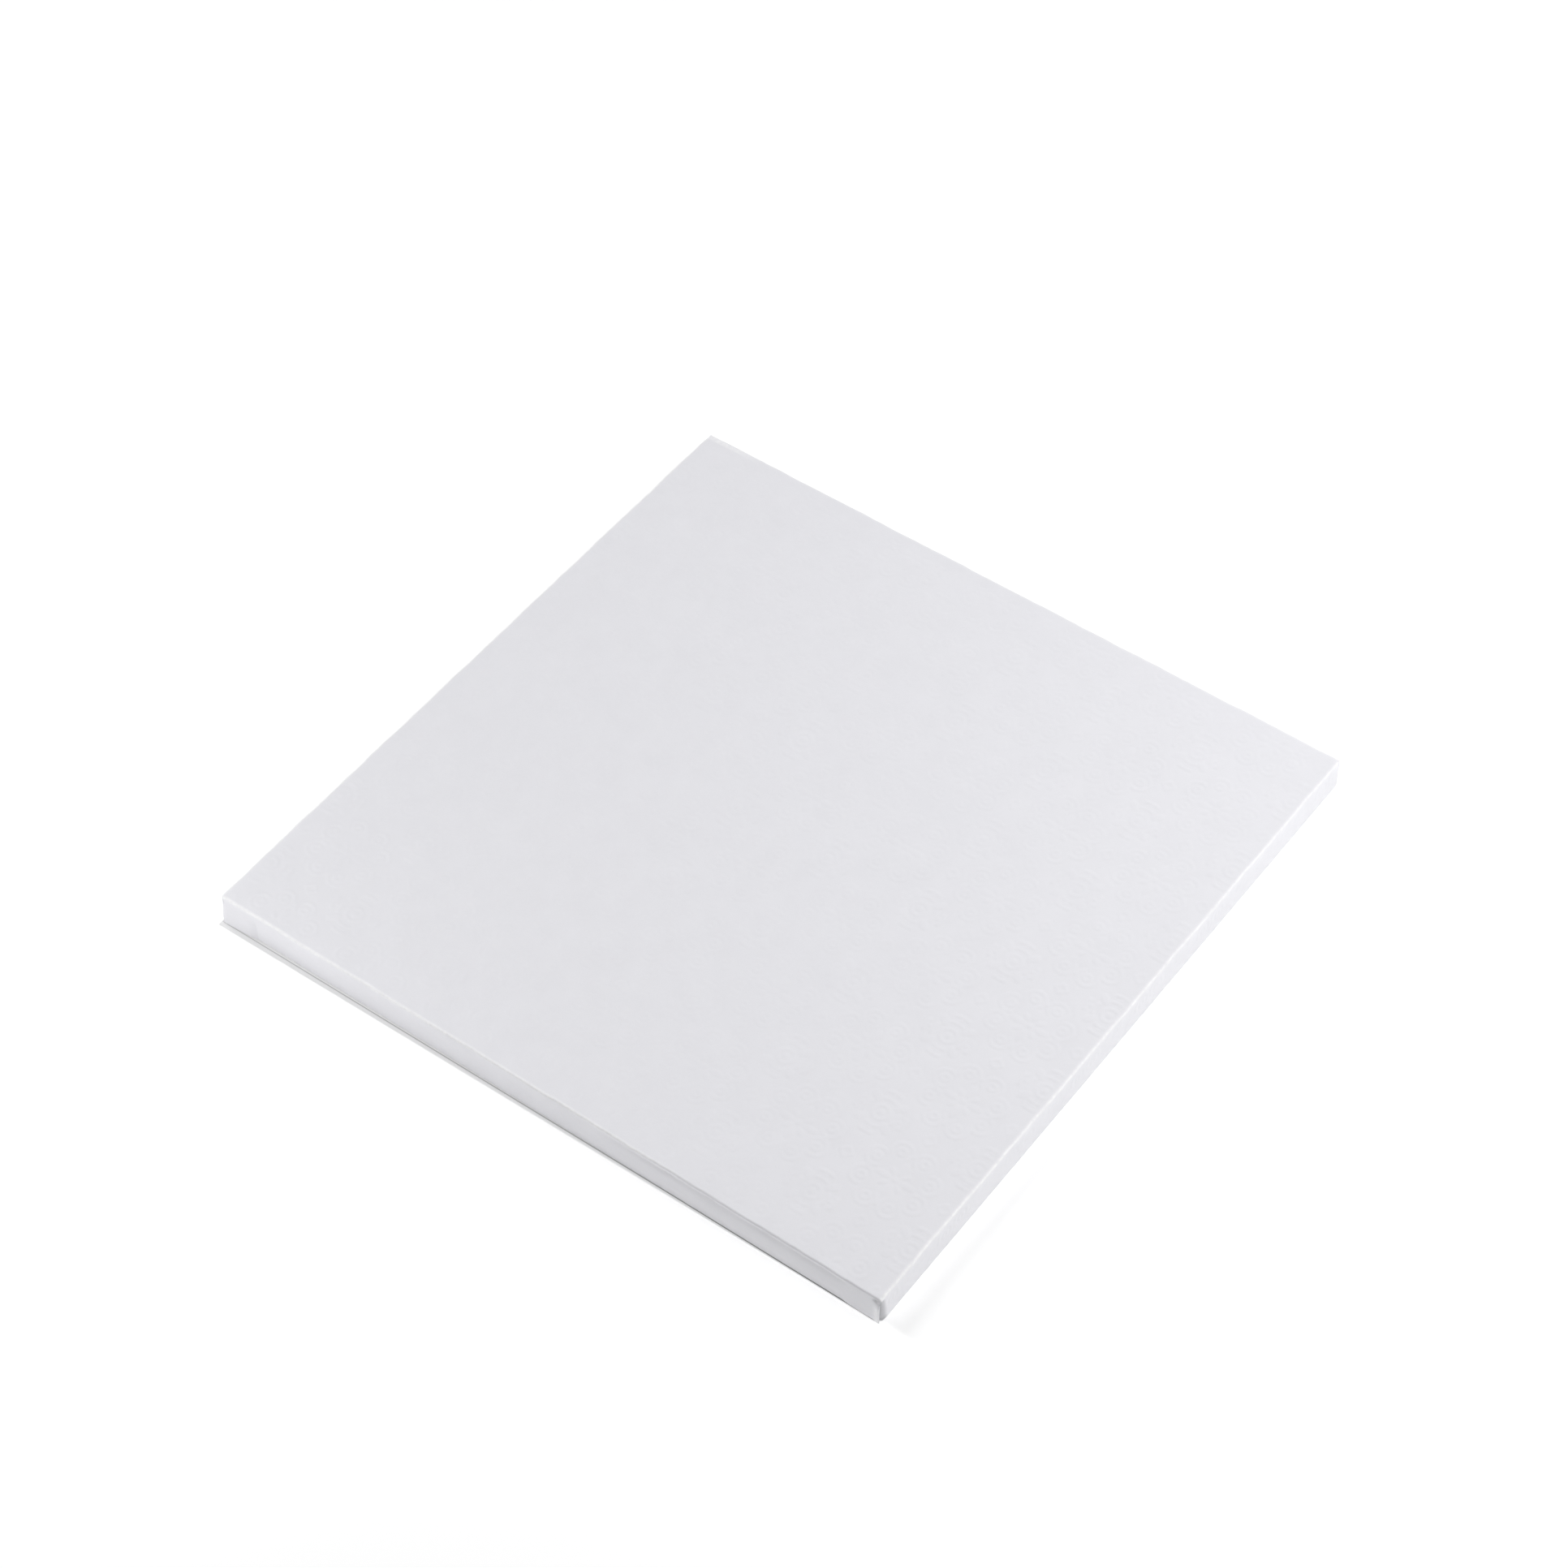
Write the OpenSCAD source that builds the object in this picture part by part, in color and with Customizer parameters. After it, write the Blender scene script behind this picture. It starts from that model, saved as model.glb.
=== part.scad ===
// Square cake board: a thick corrugated core wrapped in one embossed paper sheet.
// The cover sheet runs over the top, down the four sides and a short way under the
// edge. A lining sheet closes the underside. Origin: centre of the underside, +Z up.

/* [Board] */
// Side of the square board, outside the cover
side = 254; // [152:1:406]
// Thickness of the whole board
board_t = 12.7; // [10:0.1:16]

/* [Cover sheet] */
// Thickness of the embossed cover paper
cover_t = 0.3; // [0.2:0.05:0.4]
// How far the cover turns in under the board
turn_in = 18; // [12:1:30]
// Length of the tabs tucked round each corner
tuck_tab = 12; // [6:1:20]
// Gap between two turn-ins where they meet on the mitre
mitre_gap = 0.6; // [0.4:0.1:2]

/* [Lining sheet] */
// Thickness of the lining paper
lining_t = 0.2; // [0.1:0.05:0.3]
// Bare margin between the board's edge and the lining
lining_margin = 4; // [2:0.5:8]
// Radius of the lining's cut corners
lining_corner_r = 2; // [1:0.5:6]

/* [Corrugated core] */
// Thickness of each flat liner
liner_t = 0.3; // [0.2:0.05:0.4]
// Thickness of the fluted paper
medium_t = 0.25; // [0.15:0.05:0.35]
// Distance from one flute to the next
flute_pitch = 6.35; // [5:0.05:9]
// Share of each flute's swing that is pressed flat on the liners
crest_press = 0.18; // [0.16:0.01:0.3]
// Points along one flute, on each side of the paper
flute_steps = 12; // [12:4:24]

/* [Hidden] */

// Heights, from the underside up: lining, turn-ins, lower board, upper board, top panel.
turn_in_z = lining_t;
core_z = turn_in_z + cover_t;
core_top_z = board_t - cover_t;
plank_t = (core_top_z - core_z) / 2;
flute_h = (plank_t - 3 * liner_t) / 2;
level_t = liner_t + flute_h;
lower_z = core_z;
upper_z = core_z + plank_t;

// The tucked tabs lie on the two Y sides, under the flaps there, so the core is
// narrower by two sheets on each Y side and by one sheet on each X side.
core_x = side - 2 * cover_t;
core_y = side - 4 * cover_t;

// Swing of the fluted paper's middle line, to each side.
flute_swing = (flute_h - medium_t) / 2;

// How far a cutting shape runs past the face that it cuts.
slack = 1;

// Levels of one corrugated plank, counted up from its underside.
LOW = 0;
MID = 1;
TOP = 2;

PAPER_WHITE = [0.93, 0.93, 0.95];
LINING_WHITE = [0.88, 0.88, 0.87];
KRAFT_LINER = [0.72, 0.57, 0.40];
KRAFT_MEDIUM = [0.64, 0.48, 0.32];

// ---- Cover sheet ----

// Cross-section of the wrapped board: a rectangle whose folded edges have the
// sheet's own thickness as their radius.
module folded_section(width) {
    half = width / 2 - cover_t;
    for (x = [-half, half], z = [turn_in_z + cover_t, board_t - cover_t])
        translate([x, z]) circle(r = cover_t, $fn = 48);
    translate([-half, turn_in_z]) square([2 * half, board_t - turn_in_z]);
    translate([-width / 2, turn_in_z + cover_t])
        square([width, board_t - turn_in_z - 2 * cover_t]);
}

// The section, standing in XZ, run along Y.
module section_bar(width, length) {
    translate([0, length / 2, 0]) rotate([90, 0, 0])
        linear_extrude(height = length) folded_section(width);
}

// Solid with all eight folds rounded and the four upright corners left sharp, as
// the cut ends of the flaps leave them.
module wrapped_block() {
    intersection() {
        section_bar(side, side);
        rotate([0, 0, 90]) section_bar(side, side);
    }
}

// What the sheet is wrapped round, and the open window inside the turn-ins.
module wrapped_space() {
    inner = side - 2 * cover_t;
    window = side - 2 * turn_in;
    translate([-inner / 2, -inner / 2, core_z])
        cube([inner, inner, core_top_z - core_z]);
    translate([-window / 2, -window / 2, -slack])
        cube([window, window, core_z + 2 * slack]);
}

// Cuts on the diagonals that part the four turn-ins from each other. They end just
// short of the inner corners of the side flaps.
module mitre_cuts() {
    reach = (side / 2 - cover_t) * sqrt(2) - mitre_gap;
    for (turn = [45 : 90 : 315])
        rotate([0, 0, turn])
            translate([0, -mitre_gap / 2, -slack])
                cube([reach, mitre_gap, core_z + slack]);
}

// Ends of the two X flaps, turned round the corners under the Y flaps.
module tuck_tabs() {
    for (x = [0, 1], y = [0, 1])
        mirror([x, 0, 0]) mirror([0, y, 0])
            translate([side / 2 - cover_t - tuck_tab, side / 2 - 2 * cover_t, core_z])
                cube([tuck_tab, cover_t, core_top_z - core_z]);
}

module cover_sheet() {
    color(PAPER_WHITE) union() {
        difference() {
            wrapped_block();
            wrapped_space();
            mitre_cuts();
        }
        tuck_tabs();
    }
}

// ---- Lining sheet ----

module lining_sheet() {
    width = side - 2 * lining_margin;
    flat = width - 2 * lining_corner_r;
    color(LINING_WHITE) linear_extrude(height = lining_t) {
        square([width, flat], center = true);
        square([flat, width], center = true);
        for (x = [-flat / 2, flat / 2], y = [-flat / 2, flat / 2])
            translate([x, y]) circle(r = lining_corner_r, $fn = 48);
    }
}

// ---- Corrugated core ----

// Flat liner at a level of the plank whose underside is at plank_z.
module liner(plank_z, level) {
    translate([-core_x / 2, -core_y / 2, plank_z + level * level_t])
        cube([core_x, core_y, liner_t]);
}

// Keeps a value within a limit to each side of zero.
function within(value, limit) = max(-limit, min(limit, value));

// Height of the fluted paper's middle line, u along the waves. The swing is
// overdrawn and then cut off, which leaves a flat glue line on each crest.
function drawn_wave(u) = flute_swing * (1 + crest_press) * cos(360 * u / flute_pitch);
function wave_slope(u) = abs(drawn_wave(u)) > flute_swing ? 0 :
    atan(flute_swing * (1 + crest_press) * (2 * PI / flute_pitch)
        * sin(360 * u / flute_pitch));

// Height of one face of the paper: out is half the sheet, up or down.
function face_z(u, out) =
    within(within(drawn_wave(u), flute_swing) + out / cos(wave_slope(u)), flute_h / 2);

// Outline of one fluted sheet, cut off square at both ends of the width.
module wave_outline(width) {
    last = round(width / flute_pitch * flute_steps);
    places = [for (i = [0 : last]) (i / last - 0.5) * width];
    upper = [for (i = [0 : last]) [places[i], face_z(places[i], medium_t / 2)]];
    lower = [for (i = [last : -1 : 0]) [places[i], face_z(places[i], -medium_t / 2)]];
    translate([0, flute_h / 2]) polygon(concat(upper, lower));
}

// Fluted sheet on the liner at a level. The waves follow one another along X, or
// along Y with turned set, and touch the liners above and below face to face.
module flutes(plank_z, level, turned) {
    across = turned ? core_y : core_x;
    along = turned ? core_x : core_y;
    translate([0, 0, plank_z + level * level_t + liner_t])
        rotate([0, 0, turned ? 90 : 0])
            translate([0, along / 2, 0]) rotate([90, 0, 0])
                linear_extrude(height = along) wave_outline(across);
}

// The upper plank's flutes run along Y, and the lower plank is laid across it.
module upper_board_top_liner() color(KRAFT_LINER) liner(upper_z, TOP);
module upper_board_top_flutes() color(KRAFT_MEDIUM) flutes(upper_z, MID, false);
module upper_board_mid_liner() color(KRAFT_LINER) liner(upper_z, MID);
module upper_board_low_flutes() color(KRAFT_MEDIUM) flutes(upper_z, LOW, false);
module upper_board_low_liner() color(KRAFT_LINER) liner(upper_z, LOW);

module lower_board_top_liner() color(KRAFT_LINER) liner(lower_z, TOP);
module lower_board_top_flutes() color(KRAFT_MEDIUM) flutes(lower_z, MID, true);
module lower_board_mid_liner() color(KRAFT_LINER) liner(lower_z, MID);
module lower_board_low_flutes() color(KRAFT_MEDIUM) flutes(lower_z, LOW, true);
module lower_board_low_liner() color(KRAFT_LINER) liner(lower_z, LOW);

cover_sheet();
lining_sheet();
upper_board_top_liner();
upper_board_top_flutes();
upper_board_mid_liner();
upper_board_low_flutes();
upper_board_low_liner();
lower_board_top_liner();
lower_board_top_flutes();
lower_board_mid_liner();
lower_board_low_flutes();
lower_board_low_liner();
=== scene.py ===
import math

import bmesh
import bpy
import numpy as np
from mathutils import Matrix, Vector


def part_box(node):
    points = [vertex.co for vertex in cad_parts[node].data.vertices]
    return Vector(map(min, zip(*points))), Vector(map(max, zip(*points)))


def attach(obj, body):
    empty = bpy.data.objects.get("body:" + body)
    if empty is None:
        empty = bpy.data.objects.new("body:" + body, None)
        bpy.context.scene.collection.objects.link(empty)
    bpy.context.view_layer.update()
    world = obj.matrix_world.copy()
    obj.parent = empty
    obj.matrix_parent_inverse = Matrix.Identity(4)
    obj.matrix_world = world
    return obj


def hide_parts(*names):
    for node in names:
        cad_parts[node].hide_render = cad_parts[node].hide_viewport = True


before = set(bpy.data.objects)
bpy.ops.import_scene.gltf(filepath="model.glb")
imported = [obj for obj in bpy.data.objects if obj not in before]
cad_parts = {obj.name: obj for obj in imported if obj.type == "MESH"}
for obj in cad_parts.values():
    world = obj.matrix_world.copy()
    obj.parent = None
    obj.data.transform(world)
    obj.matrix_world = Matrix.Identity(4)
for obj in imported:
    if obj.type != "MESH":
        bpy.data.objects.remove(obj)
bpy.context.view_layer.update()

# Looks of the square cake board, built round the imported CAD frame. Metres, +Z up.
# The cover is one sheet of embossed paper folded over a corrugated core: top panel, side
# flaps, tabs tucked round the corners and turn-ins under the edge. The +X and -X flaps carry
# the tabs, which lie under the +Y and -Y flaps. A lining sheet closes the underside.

MM = 0.001

# ---- Places, taken from the frame --------------------------------------------------------

COVER_LOW, COVER_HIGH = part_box("cover_sheet")
LINING_LOW, LINING_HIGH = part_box("lining_sheet")
CORE_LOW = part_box("lower_board_low_liner")[0]
HALF = COVER_HIGH.x                                 # half the board's side
TOP = COVER_HIGH.z                                  # top face of the cover
UNDER = COVER_LOW.z                                 # underside of the turn-ins
SHEET = CORE_LOW.z - COVER_LOW.z                    # thickness of the cover paper
CORE_NODES = sorted(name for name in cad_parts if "board" in name)

# ---- The folded sheet --------------------------------------------------------------------

CREASE_R = 0.6 * MM      # outer radius of the fold along the top edges
HEM_R = 0.4 * MM         # outer radius of the fold along the bottom edges
TAB_GAP = 0.05 * MM      # air between a tucked tab and the flap over it
TAB = 12.0 * MM          # length of a tucked tab
TURN_IN = 18.0 * MM      # from the board's edge to the end of a turn-in
MITRE = 0.42 * MM        # how far a turn-in stops short of the diagonal

PANEL = HALF - CREASE_R                 # half the flat top panel
TAB_PLANE = HALF - SHEET - TAB_GAP      # outer face of the tucked tabs
BEND_R = TAB_PLANE - PANEL              # outer radius of the bend round each corner

EDGE_CELLS = 504         # fine cells along each edge of the panel
COARSE = 8               # fine cells to one cell of the hidden inner skin
FOLD_CELLS = 5           # fine cells round each fold
SIDE_CELLS = 20          # fine cells down each side
SIDE_COARSE = 4
TURN_CELLS = 12


def smooth(value, start, end):
    """0 at start, 1 at end, with a smooth run between."""
    t = np.clip((value - start) / (end - start), 0, 1)
    return t * t * (3 - 2 * t)


def bump(value, middle, width):
    """Bell of height 1, one width to each side of the middle."""
    return np.exp(-((value - middle) / width) ** 2)


# ---- Emboss: a lattice of eight-petal flowers and four-leaf rosettes ----------------------

EMBOSS_HEIGHT = 0.10 * MM
LATTICE_X = 35.3 * MM                # repeat along X
LATTICE_Y = 35.1 * MM                # repeat along Y
LATTICE_START = (21.2 * MM, 1.5 * MM)   # one flower's place from the corner at -X -Y
SIDE_EMBOSS = 0.6                    # what is left of the emboss on the pressed sides
FOLD_EMBOSS = 0.25                   # and in the folds


def leaf(x, y, middle, length, width):
    """Rounded leaf along X, with a shallow groove down its middle."""
    body = 1 - ((x - middle) / (length / 2)) ** 2 - (y / (width / 2)) ** 2
    groove = 0.45 * np.exp(-(y / (width * 0.12)) ** 2)
    return np.clip(body, 0, 1) ** 0.5 * (1 - groove)


def ridge(distance, width):
    """Rounded ridge, 1 on its line and 0 one width to each side."""
    return np.clip(1 - (distance / width) ** 2, 0, 1)


def flower(x, y):
    """Eight petals round a boss, inside a ring of scrolls. Millimetres from its middle."""
    far = np.maximum(abs(x), abs(y))
    near = np.minimum(abs(x), abs(y))
    along = (far + near) / math.sqrt(2)
    across = (far - near) / math.sqrt(2)
    scroll = np.hypot(far - 9.4, near - 4.1)
    return np.maximum.reduce([
        ridge(np.hypot(x, y), 1.0),
        leaf(far, near, 4.4, 5.6, 2.0),
        leaf(along, across, 3.6, 3.2, 1.5),
        0.8 * ridge(scroll - 3.3, 0.7) * smooth(far, 6.4, 8.4),
        0.8 * ridge(scroll - 1.2, 0.6),
        ridge(np.hypot(far - 9.9, near), 0.9),
    ])


def rosette(x, y):
    """Four leaves on the diagonals round a ringed boss, with a short fan on each axis."""
    far = np.maximum(abs(x), abs(y))
    near = np.minimum(abs(x), abs(y))
    along = (far + near) / math.sqrt(2)
    across = (far - near) / math.sqrt(2)
    radius = np.hypot(x, y)
    fan = smooth(near, 2.9, 2.2) * smooth(far, 3.6, 4.6)
    return np.maximum.reduce([
        ridge(radius, 1.3),
        ridge(radius - 2.6, 0.6),
        leaf(along, across, 6.3, 4.8, 2.6),
        fan * ridge(radius - 8.2, 0.7),
        fan * ridge(radius - 5.4, 0.5),
        0.8 * ridge(np.hypot(far - 6.8, near), 0.7),
    ])


def lozenge(x, y):
    """Small four-sided stud, hollow in the middle."""
    reach = abs(x) + abs(y)
    return 0.7 * ridge(reach - 2.0, 0.8)


def centred(value, repeat):
    """The offset from the nearest whole repeat."""
    return (value + repeat / 2) % repeat - repeat / 2


def emboss(flat):
    """Height of the paper's face at places on the flat sheet, measured from its middle."""
    x = flat[..., 0] + HALF - LATTICE_START[0]
    y = flat[..., 1] + HALF - LATTICE_START[1]
    half_x = x + LATTICE_X / 2
    half_y = y + LATTICE_Y / 2
    pattern = np.maximum.reduce([
        flower(centred(x, LATTICE_X) / MM, centred(y, LATTICE_Y) / MM),
        rosette(centred(half_x, LATTICE_X) / MM, centred(half_y, LATTICE_Y) / MM),
        lozenge(centred(half_x, LATTICE_X) / MM, centred(y, LATTICE_Y) / MM),
        lozenge(centred(x, LATTICE_X) / MM, centred(half_y, LATTICE_Y) / MM),
    ])
    past_panel = abs(flat).max(axis=-1) - PANEL
    places = np.array([-3.0, -0.5, 1.5, 4.0]) * MM
    pressed = np.interp(past_panel, places, [1, FOLD_EMBOSS, FOLD_EMBOSS, SIDE_EMBOSS])
    return EMBOSS_HEIGHT * pattern * pressed


# ---- How the made board strays from the ideal one -----------------------------------------

RIPPLES = ((41.0, 0.40), (19.0, 0.30), (11.0, 0.20), (6.5, 0.14))   # length in mm, share
CREASE_WOBBLE = 0.16 * MM      # sideways wander of the top folds
WOBBLE_REACH = 2.5 * MM        # how far from the fold it fades out
ROLL_OFF = 0.22 * MM           # drop of the panel towards its pressed edges
ROLL_WIDTH = 11.0 * MM
TAB_STEP = 0.30 * MM           # the flaps over the tabs sink to the core past the tabs' ends
TAB_STEP_START = 2.0 * MM      # and start to sink this far before those ends
TAB_STEP_RUN = 4.2 * MM
FLARE_DEPTH = 11.5 * MM        # depth below the top fold where a loose flap stands off in full
FLAP_FLARE = (0.9 * MM, 0.4 * MM)     # how far the -Y flap stands off: left end, right end
CORNER_FLARE = (0.5 * MM, 0.9 * MM)   # the -X flap beside it: under the fold, and more below
FLAP_SLIP = 0.5 * MM           # how far the -Y flap's left end is set in under the fold
FLAP_DENT = 0.5 * MM           # depth of the dent at the -Y flap's right end
DENT_SLIP = 1.6 * MM           # how far that end is drawn in along the board there
HOLLOW_R = 2.8 * MM            # rounding of the crushed corner at +X -Y, where it is full
HOLLOW_DEPTH = 10.5 * MM       # depth below the top fold where it is full
HOLLOW_CURVE = 0.45            # under 1: it widens fast below the fold, then slowly
CRUMPLE = 0.10 * MM            # height of the small creases at the top corners
CRUMPLE_REACH = 2.2 * MM

# Rounding of the upright corners: (sign x, sign y): radius at the top, at the bottom.
CORNER_ROUNDING = {
    (-1, -1): (0.8 * MM, 0.2 * MM),
    (-1, 1): (0.6 * MM, 0.8 * MM),
    (1, 1): (0.6 * MM, 0.4 * MM),
    (1, -1): (0.5 * MM, 0.5 * MM),
}


def ripple(place, phase):
    """Smooth wander along an edge, about -1 to 1. The phase gives each edge its own."""
    total = 0
    for k, (length, share) in enumerate(RIPPLES):
        total = total + share * np.sin(2 * math.pi * place / (length * MM) + phase * (k + 1.7))
    return total


def round_corner(p, sx, sy, radius):
    """Rounds one upright corner by pushing it in along the diagonal."""
    inward = (2 * HALF - sx * p[..., 0] - sy * p[..., 1]) / math.sqrt(2)
    reach = radius / math.sqrt(2)
    push = 0.414 * radius * np.clip(1 - inward / np.maximum(reach, 1e-6), 0, 1.3) ** 2
    p[..., 0] -= sx * push / math.sqrt(2)
    p[..., 1] -= sy * push / math.sqrt(2)


def round_corners(p):
    """Blunts the four upright corners of everything, from the core out."""
    down = smooth(-p[..., 2], -TOP, -UNDER)
    for (sx, sy), (at_top, at_bottom) in CORNER_ROUNDING.items():
        round_corner(p, sx, sy, at_top + (at_bottom - at_top) * down)


def crumple_corners(p):
    """Small creases in the paper where three folds meet."""
    depth = TOP - p[..., 2]
    for k, (sx, sy) in enumerate(CORNER_ROUNDING):
        dx = HALF - sx * p[..., 0]
        dy = HALF - sy * p[..., 1]
        near = np.exp(-(dx ** 2 + dy ** 2 + depth ** 2) / CRUMPLE_REACH ** 2)
        wave = np.sin((dx - dy) / (0.42 * MM) + 2 * k) + np.sin((dx + 0.6 * dy) / (0.6 * MM) + k)
        p[..., 2] += CRUMPLE * near * wave


def wander_creases(p):
    """Lets the four top folds wander a little, as hand-wrapped paper does."""
    depth = TOP - p[..., 2]
    for axis, sign, phase in ((0, 1, 0.4), (0, -1, 2.1), (1, 1, 3.3), (1, -1, 5.2)):
        from_edge = HALF - sign * p[..., axis]
        near = np.exp(-(from_edge ** 2 + depth ** 2) / WOBBLE_REACH ** 2)
        place = p[..., 1 - axis]
        p[..., axis] += sign * CREASE_WOBBLE * near * ripple(place, phase)
        p[..., 2] += 0.5 * CREASE_WOBBLE * near * ripple(place * 1.3, phase + 1.1)


def roll_edges(p):
    """Lets the panel fall off towards the +Y edge and the front part of the -Y edge."""
    back = smooth(p[..., 1], HALF - ROLL_WIDTH, HALF)
    front = smooth(-p[..., 1], HALF - ROLL_WIDTH, HALF) * smooth(p[..., 0], 0, 60 * MM)
    upper = smooth(p[..., 2], TOP - 4 * MM, TOP - CREASE_R)
    p[..., 2] -= ROLL_OFF * (0.7 * back + front) * upper


def below_fold(p):
    """Depth below the top folds."""
    return TOP - CREASE_R - p[..., 2]


def beyond_tab(from_end):
    """0 over a tucked tab, 1 beyond it, at a distance from the end of the flap over it."""
    return np.clip((from_end - TAB + TAB_STEP_START) / TAB_STEP_RUN, 0, 1) ** 2


def hollow_share(depth):
    """How wide the hollow at the +X -Y corner is at a depth below the fold, 0 to 1."""
    return np.clip(depth / HOLLOW_DEPTH, 0, 1) ** HOLLOW_CURVE


def sink_outer_flaps(p):
    """Glues the +Y and -Y flaps down on the core between the tabs."""
    side = np.sign(p[..., 1])
    depth = below_fold(p)
    past_tab = beyond_tab(HALF - abs(p[..., 0]))
    pinched = smooth(p[..., 0], 5 * MM, 45 * MM) * (side < 0)
    soft = smooth(depth, 0, 5.5 * MM)
    tight = 1.3 * smooth(depth, 0, 0.9 * MM) - 0.9 * smooth(depth, 1.2 * MM, 4 * MM)
    tight += 0.6 * smooth(depth, 6 * MM, 11 * MM)
    sunk = TAB_STEP * past_tab * (soft + (tight - soft) * pinched)
    p[..., 1] -= side * sunk * (depth > 0)


def flare_flap_ends(p):
    """Cut ends of the -Y flap: both stand off the board below, and the right one is dented."""
    depth = below_fold(p)
    share = np.clip(depth / FLARE_DEPTH, 0, 1)
    below = smooth(depth, 0, 1.5 * MM)
    front = p[..., 1] < 0
    from_left = HALF + p[..., 0]
    from_right = HALF - p[..., 0]
    lifted = 1 - beyond_tab(from_left)
    lifted = lifted * (1 - 0.8 * np.clip(from_left / TAB, 0, 1)) * front
    p[..., 1] -= FLAP_FLARE[0] * lifted * share
    left_end = smooth(-from_left, -8 * MM, -0.3 * MM) * front
    p[..., 0] += FLAP_SLIP * left_end * below * (1 - 1.7 * share)
    right_end = smooth(-from_right, -3.2 * MM, -0.3 * MM) * front
    p[..., 1] -= FLAP_FLARE[1] * right_end * smooth(depth, 2.5 * MM, 5 * MM)
    dent = bump(depth, 1.2 * MM, 1.1 * MM) * below
    p[..., 1] += FLAP_DENT * right_end * dent
    p[..., 0] -= DENT_SLIP * smooth(-from_right, -4 * MM, -0.3 * MM) * front * dent


def flare_left_corner(p):
    """Lets the -X flap stand off the board where it turns the -Y corner."""
    share = np.clip(below_fold(p) / FLARE_DEPTH, 0, 1)
    near = smooth(-p[..., 1], HALF - 9 * MM, HALF) * (p[..., 0] < 0)
    under_fold, lower = CORNER_FLARE
    p[..., 0] -= near * (under_fold * smooth(share, 0, 0.12) + lower * share)


def hollow_front_corner(p):
    """Crushes the +X -Y corner under the flaps, more so towards the bottom."""
    round_corner(p, 1, -1, HOLLOW_R * hollow_share(below_fold(p)))


def fit_in_folds(p):
    """Crushes the core's edges, so that they lie inside the rounded folds."""
    for radius, sign, level in ((CREASE_R, 1, TOP - CREASE_R), (HEM_R, -1, UNDER + HEM_R)):
        inner = radius - SHEET
        past = np.clip(sign * (p[..., 2] - level), 0, inner)
        limit = HALF - radius + np.sqrt(np.clip(inner ** 2 - past ** 2, 0, None))
        for axis in (0, 1):
            p[..., axis] = np.clip(p[..., axis], -limit, limit)


def strayed(points, layer):
    """The points of one layer, moved to where the made board has them."""
    p = np.array(points, float)
    if layer == "core":
        fit_in_folds(p)
    if layer in ("core", "tucked"):
        hollow_front_corner(p)
    if layer == "tucked":
        flare_left_corner(p)
    if layer == "over":
        sink_outer_flaps(p)
        flare_flap_ends(p)
    roll_edges(p)
    wander_creases(p)
    crumple_corners(p)
    round_corners(p)
    return p


# ---- Mesh helpers ------------------------------------------------------------------------

class Skin:
    """Gathers a folded sheet: a fine outer skin, a coarse inner one, and the cut edges."""

    def __init__(self):
        self.points = []
        self.wear_and_painted_light = []
        self.faces = []
        self.count = 0

    def add(self, points, wear_and_painted_light):
        """Takes a grid of points and returns the grid of their numbers."""
        rows, columns = points.shape[:2]
        first = self.count
        self.points.append(points.reshape(-1, 3))
        self.wear_and_painted_light.append(np.broadcast_to(wear_and_painted_light, (rows, columns)).ravel())
        self.count += rows * columns
        return first + np.arange(rows * columns).reshape(rows, columns)

    def quads(self, numbers):
        corners = (numbers[:-1, :-1], numbers[1:, :-1], numbers[1:, 1:], numbers[:-1, 1:])
        self.faces.extend(np.stack(corners, -1).reshape(-1, 4).tolist())

    def rim(self, fine, coarse):
        """Closes a cut edge between the two skins."""
        step = (len(fine) - 1) // (len(coarse) - 1)
        for k in range(len(coarse) - 1):
            edge = fine[k * step:(k + 1) * step + 1][::-1].tolist()
            self.faces.append([int(coarse[k]), int(coarse[k + 1])] + edge)

    def grid(self, outer, inner, step, cuts=(), wear_and_painted_light=0.0):
        """One patch of the sheet. cuts names its free edges: first or last row or column."""
        fine = self.add(outer, wear_and_painted_light)
        coarse = self.add(inner[::step[0], ::step[1]], 0.0)
        self.quads(fine)
        self.quads(coarse)
        edges = {
            "first_row": (fine[0], coarse[0]),
            "last_row": (fine[-1], coarse[-1]),
            "first_column": (fine[:, 0], coarse[:, 0]),
            "last_column": (fine[:, -1], coarse[:, -1]),
        }
        for name in cuts:
            self.rim(*edges[name])

    def mesh(self, name):
        """The gathered sheet as a closed, smooth mesh that carries its wear, painted highlights
        and painted shade at each point.
        """
        mesh = bpy.data.meshes.new(name)
        mesh.from_pydata(np.concatenate(self.points).tolist(), [], self.faces)
        # Per-point wear and painted light: burnish and painted highlight above 0, painted shade
        # below 0.
        wear_and_painted_light = mesh.attributes.new("wear_and_painted_light", "FLOAT", "POINT")
        wear_and_painted_light.data.foreach_set("value", np.concatenate(self.wear_and_painted_light).astype(np.float32))
        weld(mesh)
        mesh.shade_smooth()
        mesh.set_sharp_from_angle(angle=math.radians(50))
        return mesh


def weld(mesh, distance=0.001 * MM):
    """Joins points that meet and turns every face outwards."""
    work = bmesh.new()
    work.from_mesh(mesh)
    bmesh.ops.remove_doubles(work, verts=work.verts, dist=distance)
    bmesh.ops.recalc_face_normals(work, faces=work.faces)
    work.to_mesh(mesh)
    work.free()


def make_piece(name, mesh, material, replaced):
    """A finished piece on the board's one body, in place of its CAD node."""
    mesh.materials.clear()
    mesh.materials.append(material)
    piece = bpy.data.objects.new(name, mesh)
    bpy.context.scene.collection.objects.link(piece)
    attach(piece, "root")
    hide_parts(replaced)
    return piece


# ---- Cover sheet -------------------------------------------------------------------------

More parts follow.
